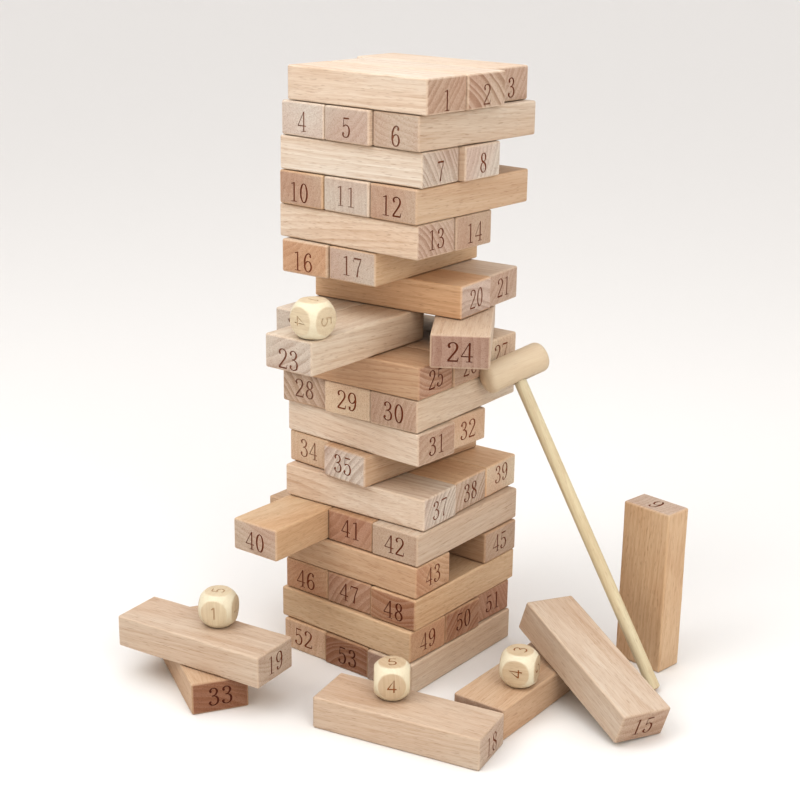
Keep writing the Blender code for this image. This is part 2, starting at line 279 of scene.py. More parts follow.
# ================================================================ node graphs
class Graph:
    """A few short ways to add nodes to one material."""

    def __init__(self, name):
        self.material = bpy.data.materials.new(name)
        self.material.use_nodes = True
        self.nodes = self.material.node_tree.nodes
        self.links = self.material.node_tree.links
        self.shader = self.nodes["Principled BSDF"]

    def put(self, socket, value):
        """Link a socket's value, or set it where the value is a constant."""
        if isinstance(value, bpy.types.NodeSocket):
            self.links.new(value, socket)
        else:
            socket.default_value = value

    def attribute(self, name):
        """What the mesh says about itself at a point, as a vector."""
        node = self.nodes.new("ShaderNodeAttribute")
        node.attribute_name = name
        return node.outputs["Vector"]

    def split(self, vector):
        """The three parts of a vector."""
        node = self.nodes.new("ShaderNodeSeparateXYZ")
        self.put(node.inputs[0], vector)
        return node.outputs

    def join(self, x, y, z):
        """A vector from its three parts."""
        node = self.nodes.new("ShaderNodeCombineXYZ")
        for socket, value in zip(node.inputs, (x, y, z)):
            self.put(socket, value)
        return node.outputs[0]

    def math(self, operation, *values):
        """A value worked out from one or two others."""
        node = self.nodes.new("ShaderNodeMath")
        node.operation = operation
        for socket, value in zip(node.inputs, values):
            self.put(socket, value)
        return node.outputs[0]

    def stretch(self, vector, scale):
        """A vector with each part multiplied."""
        node = self.nodes.new("ShaderNodeVectorMath")
        node.operation = "MULTIPLY"
        self.put(node.inputs[0], vector)
        node.inputs[1].default_value = scale
        return node.outputs[0]

    def noise(self, vector, seed, detail=2.0, roughness=0.5):
        """Soft random values, mostly from 0.3 to 0.7, one lump to a unit of the vector."""
        node = self.nodes.new("ShaderNodeTexNoise")
        node.noise_dimensions = "4D"
        self.put(node.inputs["Vector"], vector)
        self.put(node.inputs["W"], seed)
        node.inputs["Scale"].default_value = 1.0
        node.inputs["Detail"].default_value = detail
        node.inputs["Roughness"].default_value = roughness
        return node.outputs[0]

    def ramp(self, value, *stops):
        """A value through straight lines between the stops, each (in, out)."""
        node = self.nodes.new("ShaderNodeValToRGB")
        self.put(node.inputs[0], value)
        elements = node.color_ramp.elements
        while len(elements) < len(stops):
            elements.new(0.5)
        for element, (place, level) in zip(elements, stops):
            element.position = place
            element.color = (level, level, level, 1.0)
        return node.outputs[0]

    def mix(self, share, first, second, blend="MIX"):
        """A colour between two others, by the share of the second."""
        node = self.nodes.new("ShaderNodeMix")
        node.data_type = "RGBA"
        node.blend_type = blend
        self.put(node.inputs[0], share)
        self.put(node.inputs[6], first)
        self.put(node.inputs[7], second)
        return node.outputs[2]

    def tinted(self, colour, tint):
        """A colour multiplied by a screen colour."""
        return self.mix(1.0, colour, rgb(tint), "MULTIPLY")

    def bump(self, height, strength, distance):
        """Fine relief of the surface."""
        node = self.nodes.new("ShaderNodeBump")
        node.inputs["Strength"].default_value = strength
        node.inputs["Distance"].default_value = distance
        self.put(node.inputs["Height"], height)
        self.links.new(node.outputs[0], self.shader.inputs["Normal"])


def rgb(colour):
    """A screen colour as a shader's constant."""
    return (*linear(colour), 1.0)


def wood_material(name):
    """Solid timber that runs through the piece: rings, fibres and pores, seen along or across.

    It reads "grain", the place in the tree in mm with Z along the fibres; "figure", the rings'
    spacing in mm, their strength, and a seed; "masks", how far the surface is cut across the
    grain, burnt, or on a rounded edge that is painted paler, partly as wear and partly as a
    painted highlight; "side_tone" and "end_tone".
    """
    streaks, pore_level, least_roughness, tint, scorch = WOODS[name]
    g = Graph(name)
    grain = g.attribute("grain")
    spacing, strength, seed = g.split(g.attribute("figure"))
    across, burnt, rim_wear_and_highlight = g.split(g.attribute("masks"))
    side_tone = g.attribute("side_tone")
    end_tone = g.attribute("end_tone")

    # Fibres, coarse and fine, and pores that are dashes along the grain and dots across it. Each
    # is stretched to so many lumps to a mm across the grain, both ways, and along it. What is
    # added to a seed only makes one pattern differ from another.
    coarse = g.noise(g.stretch(grain, (0.45, 0.45, 0.008)), seed, detail=3.0)
    fine = g.noise(g.stretch(grain, (2.6, 2.6, 0.07)), seed, detail=2.0, roughness=0.6)
    pore_field = g.noise(g.stretch(grain, (3.0, 3.0, 0.25)), seed, detail=0.0)
    pores = g.ramp(pore_field, (pore_level, 0.0), (pore_level + 0.08, 1.0))
    cloud = g.noise(g.stretch(grain, (0.035, 0.035, 0.010)), g.math("ADD", seed, 3.0), detail=1.0)

    late, line = growth_rings(g, grain, spacing, seed)
    side = side_colour(g, side_tone, tint, streaks, (cloud, coarse, fine, pores, line, strength))
    end = end_colour(g, end_tone, (cloud, fine, pores, late, line, strength))
    colour = g.mix(across, side, end)
    # Painted highlight and wear: the rounded edges are mixed toward a paler tint of the side's tone.
    colour = g.mix(g.math("MULTIPLY", rim_wear_and_highlight, RIM_WEAR_AND_HIGHLIGHT_SHARE), colour, g.tinted(side_tone, RIM_WEAR_AND_HIGHLIGHT))
    brown = g.mix(fine, rgb(scorch[0]), rgb(scorch[1]))
    colour = g.mix(burnt, colour, g.mix(1.0, end_tone, brown, "MULTIPLY"))
    g.put(g.shader.inputs["Base Color"], colour)

    rough = g.math("ADD", g.math("MULTIPLY", fine, 0.16), g.math("MULTIPLY", across, 0.10))
    g.put(g.shader.inputs["Roughness"], g.math("ADD", rough, least_roughness))
    g.shader.inputs["Specular IOR Level"].default_value = 0.35
    relief = g.math("SUBTRACT", g.math("MULTIPLY", fine, 0.6), g.math("MULTIPLY", pores, 0.8))
    g.bump(relief, 0.35, RELIEF)
    return g.material


def growth_rings(g, grain, spacing, seed):
    """How late in its year the wood grew, and the same faded in patches, for the lines that show.

    The rings are unevenly spaced, and each turns dark slowly and ends at once.
    """
    wander = g.noise(g.stretch(grain, (0.035, 0.035, 0.008)), seed, detail=2.0)
    x, y, _ = g.split(grain)
    radius = g.math("SQRT", g.math("ADD", g.math("MULTIPLY", x, x), g.math("MULTIPLY", y, y)))
    stray = g.math("MULTIPLY", g.math("SUBTRACT", wander, 0.5), RING_WANDER)
    wavy = g.math("ADD", radius, stray)
    years = g.noise(g.join(g.math("MULTIPLY", wavy, 0.16), 0.0, 0.0), seed, detail=1.0)
    phase = g.math("ADD", g.math("DIVIDE", wavy, spacing), g.math("MULTIPLY", years, YEAR_DRIFT))
    late = g.ramp(g.math("FRACT", phase),
                  (0.0, 0.0), (0.45, 0.15), (0.80, 0.85), (0.92, 1.0), (1.0, 0.0))
    patches = g.noise(g.stretch(grain, (0.10, 0.10, 0.015)), g.math("ADD", seed, 7.0), detail=1.0)
    return late, g.math("MULTIPLY", late, g.ramp(patches, (0.30, 0.25), (0.70, 1.0)))


def side_colour(g, tone, tint, streaks, pattern):
    """The wood along its grain: clouds, brown fibres, the edges of rings, and dashes of pores."""
    cloud, coarse, fine, pores, line, strength = pattern
    side = g.mix(g.ramp(cloud, (0.35, 0.0), (0.70, streaks)), tone, g.tinted(tone, tint))
    brown = g.tinted(side, BROWN_FIBRE)
    side = g.mix(g.ramp(coarse, (0.42, 0.0), (0.68, 0.4 * streaks)), side, brown)
    side = g.mix(g.ramp(fine, (0.45, 0.0), (0.72, 0.8 * streaks)), side, brown)
    long_line = g.math("MULTIPLY", line, g.math("ADD", g.math("MULTIPLY", strength, 0.4), 0.13))
    side = g.mix(g.math("MULTIPLY", long_line, 1.5 * streaks), side, g.tinted(side, LONG_RING))
    return g.mix(g.math("MULTIPLY", pores, 0.42 * streaks), side, g.tinted(side, LONG_PORE))


def end_colour(g, tone, pattern):
    """The wood across its grain: pink clouds, dark and pale rings, and dots of fibres and pores."""
    cloud, fine, pores, late, line, strength = pattern
    end = g.mix(g.ramp(cloud, (0.35, 0.0), (0.65, 1.0)), tone, g.tinted(tone, PINK_CLOUD))
    ring = g.math("MULTIPLY", line, strength)
    end = g.mix(g.math("MULTIPLY", ring, 0.85), end, g.tinted(end, CUT_RING))
    pale = g.math("MULTIPLY", g.ramp(late, (0.0, 1.0), (0.25, 0.0)), strength)
    end = g.mix(g.math("MULTIPLY", pale, 0.30), end, rgb(EARLY_WOOD))
    dots = g.math("MULTIPLY", g.ramp(fine, (0.40, 0.0), (0.75, 1.0)), 0.55)
    end = g.mix(dots, end, g.tinted(end, CUT_FIBRE))
    return g.mix(g.math("MULTIPLY", pores, 0.45), end, g.tinted(end, CUT_PORE))


# ================================================================ glyph outlines
def smooth_line(points):
    """Points along a Catmull-Rom curve through the given ones."""
    path = [Vector(point) for point in points]
    ends = [2 * path[0] - path[1]] + path + [2 * path[-1] - path[-2]]
    found = []
    for a, b, c, d in zip(ends, ends[1:], ends[2:], ends[3:]):
        for step in range(CURVE_STEPS):
            t = step / CURVE_STEPS
            found.append(0.5 * (2 * b + (c - a) * t + (2 * a - 5 * b + 4 * c - d) * t * t
                                + (3 * b - a - 3 * c + d) * t * t * t))
    return found + [path[-1]]


def directions_along(path, closed):
    """The direction of a path at each of its points."""
    count = len(path)
    found = []
    for index, point in enumerate(path):
        before = path[index - 1] if index or closed else point
        after = path[(index + 1) % count] if index + 1 < count or closed else point
        found.append((after - before).normalized())
    return found


def ribbon(path, widths, closed=False):
    """Four-sided pieces that follow a path, with the width of each of its points."""
    count = len(path)
    left, right = [], []
    for point, along, width in zip(path, directions_along(path, closed), widths):
        side = Vector((-along.y, along.x)) * width / 2
        left.append(point + side)
        right.append(point - side)
    pieces = []
    for index in range(count if closed else count - 1):
        after = (index + 1) % count
        pieces.append([left[index], right[index], right[after], left[after]])
    return pieces


def upright_widths(path, closed=False):
    """Stroke widths that grow as the path turns upright."""
    return [HAIR + (THICK - HAIR) * along.y * along.y for along in directions_along(path, closed)]


def oval_line(centre, rx, ry, count=OVAL_STEPS):
    """Points round an oval, without coming back to the first."""
    return arc_line(centre, rx, ry, 0.0, 360.0, count)[:-1]


def arc_line(centre, rx, ry, start, end, count=ARC_STEPS):
    """Points on part of an oval, from one angle to another in degrees."""
    path = []
    for step in range(count + 1):
        angle = math.radians(start + (end - start) * step / count)
        path.append(Vector((centre[0] + rx * math.cos(angle), centre[1] + ry * math.sin(angle))))
    return path


def stroke_pieces(stroke):
    """The convex pieces of one stroke."""
    kind, *parts = stroke
    if kind == "ball":
        return [oval_line(parts[0], BALL, BALL, BALL_STEPS)]
    if kind == "bar":
        start, start_width, end, end_width = parts
        return ribbon([Vector(start), Vector(end)], [start_width, end_width])
    if kind == "oval":
        path = oval_line(*parts)
        return ribbon(path, upright_widths(path, True), True)
    path = smooth_line(parts)
    return ribbon(path, upright_widths(path))


def digit_pieces(digit):
    """A digit's convex pieces. A 9 is a 6 turned over."""
    if digit == "9":
        turned = []
        for piece in digit_pieces("6"):
            turned.append([Vector((DIGIT_BOX[0] - p.x, DIGIT_BOX[1] - p.y)) for p in piece])
        return turned
    pieces = []
    for stroke in DIGITS[digit]:
        pieces.extend(stroke_pieces(stroke))
    return pieces


def number_pieces(number):
    """The pieces of a block's number in mm, about the middle of its end."""
    digits = str(number)
    shift = Vector(NUMBER_SHIFTS.get(number, (0.0, 0.0)))
    width = DIGIT_BOX[0] + DIGIT_ADVANCE * (len(digits) - 1)
    pieces = []
    for place, digit in enumerate(digits):
        left = place * DIGIT_ADVANCE - width / 2
        for piece in digit_pieces(digit):
            middle = Vector((-left, DIGIT_BOX[1] / 2))
            pieces.append([(p - middle) * DIGIT_HEIGHT + shift for p in piece])
    return pieces


# The dice's digits as lines through a box 0.6 wide and 1 high.
DIE_DIGITS = {
    1: [[(0.16, 0.80), (0.32, 0.97)], [(0.32, 0.97), (0.32, 0.03)]],
    2: [arc_line((0.30, 0.73), 0.22, 0.22, 165, -40) + [Vector((0.06, 0.05))],
        [(0.05, 0.05), (0.54, 0.05)]],
    3: [arc_line((0.28, 0.74), 0.21, 0.21, 150, -85), arc_line((0.28, 0.29), 0.25, 0.25, 85, -150)],
    4: [[(0.42, 0.03), (0.42, 0.97), (0.05, 0.29)], [(0.03, 0.29), (0.57, 0.29)]],
    5: [[(0.50, 0.94), (0.14, 0.94), (0.10, 0.52)], arc_line((0.29, 0.31), 0.24, 0.27, 140, -150)],
    6: [arc_line((0.52, 0.32), 0.44, 0.66, 100, 180), arc_line((0.30, 0.30), 0.22, 0.26, 0, 360)],
}


def die_digit_pieces(digit):
    """The pieces of a die's digit in mm, about the middle of its face."""
    pieces = []
    for line in DIE_DIGITS[digit]:
        path = [Vector((point[0] * DIE_DIGIT_BREADTH, point[1])) for point in line]
        pieces.extend(ribbon(path, [DIE_LINE] * len(path)))
    middle = Vector((DIGIT_BOX[0] * DIE_DIGIT_BREADTH / 2, DIGIT_BOX[1] / 2))
    return [[(p - middle) * DIE_DIGIT_HEIGHT for p in piece] for piece in pieces]


# ================================================================ meshes
INSIDE_FACES = 1            # the kind of triangulation that leaves out what is outside
MERGE_DISTANCE = 1e-5       # points closer than this, in mm, become one


class Shape:
    """A mesh in the making, with what the wood materials need to know at each vertex."""

    def __init__(self):
        self.bm = bmesh.new()
        self.masks = self.bm.verts.layers.float_vector.new("masks")

    def vertex(self, place, across=0.0, burnt=0.0, rim_wear_and_highlight=0.0):
        """A new vertex, with its masks for the wood."""
        made = self.bm.verts.new(place)
        made[self.masks] = (across, burnt, rim_wear_and_highlight)
        return made

    def carve(self, outline, pieces, to_place, depth, across, burn):
        """Fill a flat outline of vertices, with some pieces of it sunk below the surface.

        The outline and the pieces are in mm in the face's own plane; to_place turns such a
        point and a depth in mm into a place in the piece.
        """
        # Face 0 is the outline, and each piece is a face after it.
        points = [Vector(point) for point, _ in outline]
        faces = [list(range(len(points)))]
        for piece in pieces:
            turn = sum((b - a).cross(c - b) for a, b, c in zip(piece, piece[1:], piece[2:]))
            ordered = piece if turn > 0 else piece[::-1]
            faces.append(list(range(len(points), len(points) + len(ordered))))
            points.extend(ordered)
        found, _, triangles, merged, _, sources = delaunay_2d_cdt(
            points, [], faces, INSIDE_FACES, MERGE_DISTANCE)

        # The vertices at the surface and at the bottom of the engraving, made when needed.
        top, floor = {}, {}
        for index, origins in enumerate(merged):
            rim = [origin for origin in origins if origin < len(outline)]
            if rim:
                top[index] = outline[rim[0]][1]

        def top_vertex(index):
            if index not in top:
                top[index] = self.vertex(to_place(found[index], 0.0), across)
            return top[index]

        def floor_vertex(index):
            if index not in floor:
                floor[index] = self.vertex(to_place(found[index], depth), across, burn)
            return floor[index]

        # What a piece covers is sunk, and a wall goes wherever a sunk edge has one side.
        sunk = {}
        for triangle, source in zip(triangles, sources):
            if any(origin > 0 for origin in source):
                self.bm.faces.new([floor_vertex(index) for index in triangle])
                for a, b in zip(triangle, triangle[1:] + triangle[:1]):
                    key = (min(a, b), max(a, b))
                    sunk[key] = sunk.get(key, 0) + 1
            else:
                self.bm.faces.new([top_vertex(index) for index in triangle])
        for (a, b), count in sunk.items():
            if count == 1:
                self.bm.faces.new((top_vertex(a), top_vertex(b), floor_vertex(b), floor_vertex(a)))

    def loft(self, rings):
        """Four-sided faces between each ring of vertices and the next."""
        for lower, upper in zip(rings, rings[1:]):
            for index in range(len(lower)):
                after = (index + 1) % len(lower)
                self.bm.faces.new((lower[index], lower[after], upper[after], upper[index]))

    def finish(self, name, place, material, sharp_angle):
        """Make the object, at a place in the row frame, with its normals weighted by area."""
        bmesh.ops.recalc_face_normals(self.bm, faces=self.bm.faces)
        mesh = bpy.data.meshes.new(name)
        self.bm.to_mesh(mesh)
        self.bm.free()
        mesh.materials.append(material)
        mesh.shade_smooth()
        mesh.set_sharp_from_angle(angle=math.radians(sharp_angle))
        thing = bpy.data.objects.new(name, mesh)
        bpy.context.scene.collection.objects.link(thing)
        thing.matrix_world = place
        weighted = thing.modifiers.new("weighted normals", "WEIGHTED_NORMAL")
        weighted.keep_sharp = True
        return thing


def set_wood(thing, tones, figure, to_tree):
    """Give each vertex its place in the tree, and the piece its rings and its tones."""
    mesh = thing.data
    side_tone, end_tone = linear(tones[0]), linear(tones[1])
    values = {"figure": figure, "side_tone": side_tone, "end_tone": end_tone}
    for name in ("grain", *values):
        mesh.attributes.new(name, "FLOAT_VECTOR", "POINT")
    for name, value in values.items():
        mesh.attributes[name].data.foreach_set("vector", list(value) * len(mesh.vertices))
    grain = mesh.attributes["grain"].data
    for vertex in mesh.vertices:
        grain[vertex.index].vector = to_tree @ (vertex.co / MM)


def tree_of(draw, heart=None):
    """From a piece's own axes, in mm, to the tree's, and the rings' strength.

    The heart is what HEARTS gives for a block. Without one it is drawn at random.
    """
    heading = draw.uniform(0.0, 360.0)
    distance = draw.uniform(*HEART_DISTANCE)
    strength = draw.uniform(*RING_STRENGTH)
    slope = (draw.uniform(-GRAIN_SLOPE, GRAIN_SLOPE), draw.uniform(-GRAIN_SLOPE, GRAIN_SLOPE))
    if heart:
        heading, distance, strength = heart
    angle = math.radians(heading)
    tree = Matrix.Translation((-distance * math.cos(angle), -distance * math.sin(angle), 0.0))
    tree[0][2] = slope[0]
    tree[1][2] = slope[1]
    return tree, strength


# ================================================================ blocks
def rounded_section(half_width, half_height, radius):
    """Points of a rounded rectangle, and whether each is on the round of a corner."""
    points = []
    for corner, (sx, sy) in enumerate(((1, 1), (-1, 1), (-1, -1), (1, -1))):
        cx, cy = sx * (half_width - radius), sy * (half_height - radius)
        for step in range(CORNER_STEPS + 1):
            angle = math.radians(90.0 * (corner + step / CORNER_STEPS))
            point = Vector((cx + radius * math.cos(angle), cy + radius * math.sin(angle)))
            points.append((point, 0 < step < CORNER_STEPS))
    return points


def block_stations(draw):
    """The block from its plain end to its numbered end: height, inset, radius, end share."""
    half = BLOCK_LENGTH / 2
    rounding = []
    for step in range(CORNER_STEPS + 1):
        angle = math.radians(90.0 * step / CORNER_STEPS)
        inset = EDGE_RADIUS * (1 - math.sin(angle))
        height = half - EDGE_RADIUS * (1 - math.cos(angle))
        radius = EDGE_RADIUS * max(math.sin(angle), TIGHTEST_CORNER)
        rounding.append((height, inset, radius, 1 - step / CORNER_STEPS))
    stations = [(-height, inset, radius, share) for height, inset, radius, share in rounding]
    for step in range(1, WEAR_STATIONS):
        height = (2 * step / WEAR_STATIONS - 1) * (half - EDGE_RADIUS)
        stations.append((height, 0.0, EDGE_RADIUS * (1 + draw.uniform(-EDGE_WEAR, EDGE_WEAR)), 0.0))
    return stations + rounding[::-1]


def block_shape(number, draw):
    """A block about its middle: X to the right of its number, Y up, Z out of the numbered end."""
    shape = Shape()
    rings = []
    for height, inset, radius, share in block_stations(draw):
        section = rounded_section(BLOCK_WIDTH / 2 - inset, BLOCK_THICKNESS / 2 - inset, radius)
        ring = []
        for point, on_round in section:
            # Rounded edges and the rounding of the ends get the mask for the paler rim, part wear and
            # part painted highlight.
            rim_wear_and_highlight = 1.0 if on_round or 0 < share < 1 else 0.0
            ring.append(shape.vertex((point.x, point.y, height), across=share, rim_wear_and_highlight=rim_wear_and_highlight))
        rings.append(ring)
    shape.loft(rings)
    shape.bm.faces.new(rings[0])
    outline = [((vertex.co.x / MM, vertex.co.y / MM), vertex) for vertex in rings[-1]]

    def to_place(point, depth):
        return (point.x * MM, point.y * MM, BLOCK_LENGTH / 2 - depth * MM)

    burn = BURN.get(number, 1.0)
    shape.carve(outline, number_pieces(number), to_place, ENGRAVING_DEPTH, 1.0, burn)
    return shape


SAME_WAY = 0.999            # the least cosine between two directions that count as one
END_PLACE = 4               # a block's two wide and two narrow faces come before its ends
UPWARD = Vector((0.0, 0.1, 1.0))            # the side that the tops of the numbers are on
NUMBER_SIDE = Vector((1.0, -1.0, 0.5))      # the side that the numbered ends are on


def flat_directions(node):
    """The directions of a CAD solid's flat faces, the largest first."""
    found = []
    for face in node.data.polygons:
        for entry in found:
            if entry[0].dot(face.normal) > SAME_WAY:
                entry[1] += face.area
                break
        else:
            found.append([face.normal.copy(), face.area])
    found.sort(key=lambda entry: -entry[1])
    return [entry[0] for entry in found]


def middle_of(node):
    """The middle of a CAD solid's box."""
    low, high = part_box(node.name)
    return (low + high) / 2


def placed(right, up, out, middle):
    """The matrix of a piece whose own X, Y and Z point in these directions."""
    matrix = Matrix((right, up, out)).transposed().to_4x4()
    matrix.translation = middle
    return matrix


def block_place(node):
    """Where a CAD block is. Every numbered end faces the near right, or up."""
    directions = flat_directions(node)
    up, out = directions[0], directions[END_PLACE]
    if up.dot(UPWARD) < 0:
        up = -up
    if out.dot(NUMBER_SIDE) < 0:
        out = -out
    right = up.cross(out).normalized()
    return placed(right, out.cross(right), out, middle_of(node))


def tone_of(number, tones):
    """A block's colour from SIDE_TONES or END_TONES."""
    for colour, numbers in tones.values():
        if number in numbers:
            return colour
    return next(iter(tones.values()))[0]


def settle(thing, node_name):
    """Fix a piece's place into its mesh, and let it stand for its CAD node and ride its body."""
    thing.data.transform(thing.matrix_world)
    thing.matrix_world = Matrix.Identity(4)
    body = frame["nodes"][node_name]["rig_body"]
    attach(thing, body)
    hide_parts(node_name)


def add_block(number, material):
    """One block, with its number, in place of its CAD node."""
    node_name = f"block_{number:02d}"
    draw = random.Random(BLOCK_SEED + number)
    place = block_place(frame["nodes"][node_name])
    shape = block_shape(number, draw)
    thing = shape.finish(f"wood_{node_name}", place, material, CUT_EDGE_ANGLE)
    tree, strength = tree_of(draw, HEARTS.get(number))
    figure = (draw.uniform(*RING_SPACING), strength, draw.uniform(*FIGURE_SEEDS))
    set_wood(thing, (tone_of(number, SIDE_TONES), tone_of(number, END_TONES)), figure, tree)
    settle(thing, node_name)


# ================================================================ dice
# A die's sides go 4, 3, 2, 1 to the right, with 5 on top and 6 below. Each die is spun about its
# 5 to bring a side to the front, rolled to the right, turned to a heading, and burnt so dark.
# Its rounded corners are pale, and its flats are darker.
DIE_CORNERS = (220, 212, 190)
DARK_FLATS = (184, 152, 112)
DICE = {
    "die_on_18": {"front": 4, "roll": 0.0, "heading": -52.0, "burn": 0.9, "flats": DARK_FLATS},
    "die_on_19": {"front": 1, "roll": 0.0, "heading": -62.0, "burn": 0.35, "flats": (204, 186, 154)},
    "die_on_36": {"front": 4, "roll": -90.0, "heading": -70.0, "burn": 0.9, "flats": DARK_FLATS},
    "die_on_23": {"front": 4, "roll": 90.0, "heading": -94.0, "burn": 0.15, "flats": (206, 190, 160)},
}
DIE_SIDES = (4, 3, 2, 1)
DIE_FLAT_ACROSS = 0.5       # how much a flat looks like end grain
WELD = 1e-6                 # vertices closer than this become one


def die_shape(burn):
    """A die about its middle: 4 towards -Y, 3 towards +X, 5 on top, 6 below."""
    shape = Shape()
    half = DIE_SIDE / 2
    ball = math.hypot(half, DIE_FLAT_RADIUS)
    faces = []
    for index, digit in enumerate(DIE_SIDES):
        out = Matrix.Rotation(math.radians(90.0 * index), 3, "Z") @ Vector((0, -1, 0))
        faces.append((digit, out, Vector((0, 0, 1))))
    faces.append((5, Vector((0, 0, 1)), Vector((0, 1, 0))))
    faces.append((6, Vector((0, 0, -1)), Vector((0, -1, 0))))
    for digit, out, up in faces:
        add_die_face(shape, digit, out, up, half, ball, burn)
    bmesh.ops.remove_doubles(shape.bm, verts=shape.bm.verts, dist=WELD)
    return shape


def add_die_face(shape, digit, out, up, half, ball, burn):
    """One face: a round flat with its digit, and its share of the ball around it."""
    right = up.cross(out)
    rings = [[] for _ in range(DIE_RINGS)]
    for spoke in range(DIE_SPOKES):
        angle = math.tau * spoke / DIE_SPOKES
        x, y = math.cos(angle), math.sin(angle)
        reach = 1 / max(abs(x), abs(y))
        border = (out + right * x * reach + up * y * reach).normalized() * ball
        start = out * half + (right * x + up * y) * DIE_FLAT_RADIUS
        for step, ring in enumerate(rings):
            share = step / (len(rings) - 1)
            if step:
                ring.append(shape.vertex(start.lerp(border, share).normalized() * ball))
            else:
                ring.append(shape.vertex(start, across=DIE_FLAT_ACROSS))
    shape.loft(rings)
    outline = []
    for vertex in rings[0]:
        outline.append(((vertex.co.dot(right) / MM, vertex.co.dot(up) / MM), vertex))

    def to_place(point, depth):
        return out * (half - depth * MM) + right * point.x * MM + up * point.y * MM

    pieces = die_digit_pieces(digit)
    shape.carve(outline, pieces, to_place, DIE_ENGRAVING_DEPTH, DIE_FLAT_ACROSS, burn)


def add_die(name, facts, material):
    """One die in place of its CAD node."""
    draw = random.Random(name)
    shape = die_shape(facts["burn"])
    front = Matrix.Rotation(math.radians(-90.0 * DIE_SIDES.index(facts["front"])), 4, "Z")
    roll = Matrix.Rotation(math.radians(facts["roll"]), 4, "Y")
    spin = Matrix.Rotation(math.radians(facts["heading"] + 90.0), 4, "Z")
    place = Matrix.Translation(middle_of(frame["nodes"][name])) @ spin @ roll @ front
    thing = shape.finish(f"wood_{name}", place, material, CUT_EDGE_ANGLE)
    tree, _ = tree_of(draw)
    figure = (draw.uniform(*RING_SPACING), DIE_RING_STRENGTH, draw.uniform(*FIGURE_SEEDS))
    set_wood(thing, (DIE_CORNERS, facts["flats"]), figure, tree)
    settle(thing, name)


# ================================================================ mallet
def mallet_place():
    """The mallet's foot, its hinge's direction, and roughly the direction up along its handle.

    The last goes to the rim of the handle's far end, not to its middle. So the handle leans 0.7
    degrees too far, and the head is 1.9 mm too near the tower and cuts into blocks 26, 27 and 30.
    """
    hinge = next(joint for joint in frame["joints"] if joint["name"] == "mallet_tip")
    foot = Vector(hinge["pos_m"])
    handle = frame["nodes"]["mallet_handle"]
    points = [handle.matrix_world @ vertex.co for vertex in handle.data.vertices]
    far = max(points, key=lambda point: (point - foot).length)
    across = Vector(hinge["axis"])
    along = far - foot
    along = (along - across * along.dot(across)).normalized()
    return foot, across.normalized(), along


def turned(shape, profile, spokes, ends_across):
    """A solid of revolution about Z. The profile is (height, radius), with a tip at each end.

    The ends are cut across the grain by so much, as far as their first ring.
    """
    bottom = shape.vertex((0, 0, profile[0][0]), across=ends_across)
    top = shape.vertex((0, 0, profile[-1][0]), across=ends_across)
    rings = []
    body = profile[1:-1]
    for index, (height, radius) in enumerate(body):
        across = ends_across if index in (0, len(body) - 1) else 0.0
        ring = []
        for spoke in range(spokes):
            angle = math.tau * spoke / spokes
            place = (radius * math.cos(angle), radius * math.sin(angle), height)
            ring.append(shape.vertex(place, across))
        rings.append(ring)
    shape.loft(rings)
    for spoke in range(spokes):
        after = (spoke + 1) % spokes
        shape.bm.faces.new((bottom, rings[0][after], rings[0][spoke]))
        shape.bm.faces.new((top, rings[-1][spoke], rings[-1][after]))


def head_profile():
    """The head's outline: a straight barrel with rounded, slightly crowned ends."""
    half = HEAD_LENGTH / 2
    shoulder = half - HEAD_CROWN - HEAD_ROUNDING
    inner = HEAD_RADIUS - HEAD_ROUNDING
    arc = []
    for step in range(HEAD_STEPS + 1):
        angle = math.radians(HEAD_SHOULDER_ANGLE) * step / HEAD_STEPS
        height = shoulder + HEAD_ROUNDING * math.sin(angle)
        arc.append((height, inner + HEAD_ROUNDING * math.cos(angle)))
    depth, share = HEAD_CROWN_RING
    arc.append((half - depth, inner * share))
    lower = [(-height, radius) for height, radius in reversed(arc)]
    return [(-half, 0.0)] + lower + [(0.0, HEAD_RADIUS)] + arc + [(half, 0.0)]


def drill(thing, radius, low, high):
    """Bore a hole along a piece's own X and make the mesh final."""
    cutter = Shape()
    profile = [(low, 0.0), (low, radius), (high, radius), (high, 0.0)]
    turned(cutter, profile, HANDLE_SPOKES, 0.0)
    lie = Matrix.Rotation(math.radians(90.0), 4, "Y")
    place = thing.matrix_world @ lie
    tool = cutter.finish("drill", place, thing.data.materials[0], CUT_EDGE_ANGLE)
    cut = thing.modifiers.new("bore", "BOOLEAN")
    cut.operation = "DIFFERENCE"
    cut.solver = "EXACT"
    cut.object = tool
    bpy.context.view_layer.update()
    cut_thing = thing.evaluated_get(bpy.context.evaluated_depsgraph_get())
    mesh = bpy.data.meshes.new_from_object(cut_thing)
    thing.modifiers.clear()
    thing.data = mesh
    bpy.data.objects.remove(tool)


def add_mallet(head_wood, handle_wood):
    """The mallet's head, bored for its handle, and the handle from its foot up into the bore."""
    foot, across, along = mallet_place()
    draw = random.Random(MALLET_SEED)
    add_head(foot + along * HANDLE_REACH, along, head_wood, draw)
    add_handle(foot, across, along, handle_wood, draw)


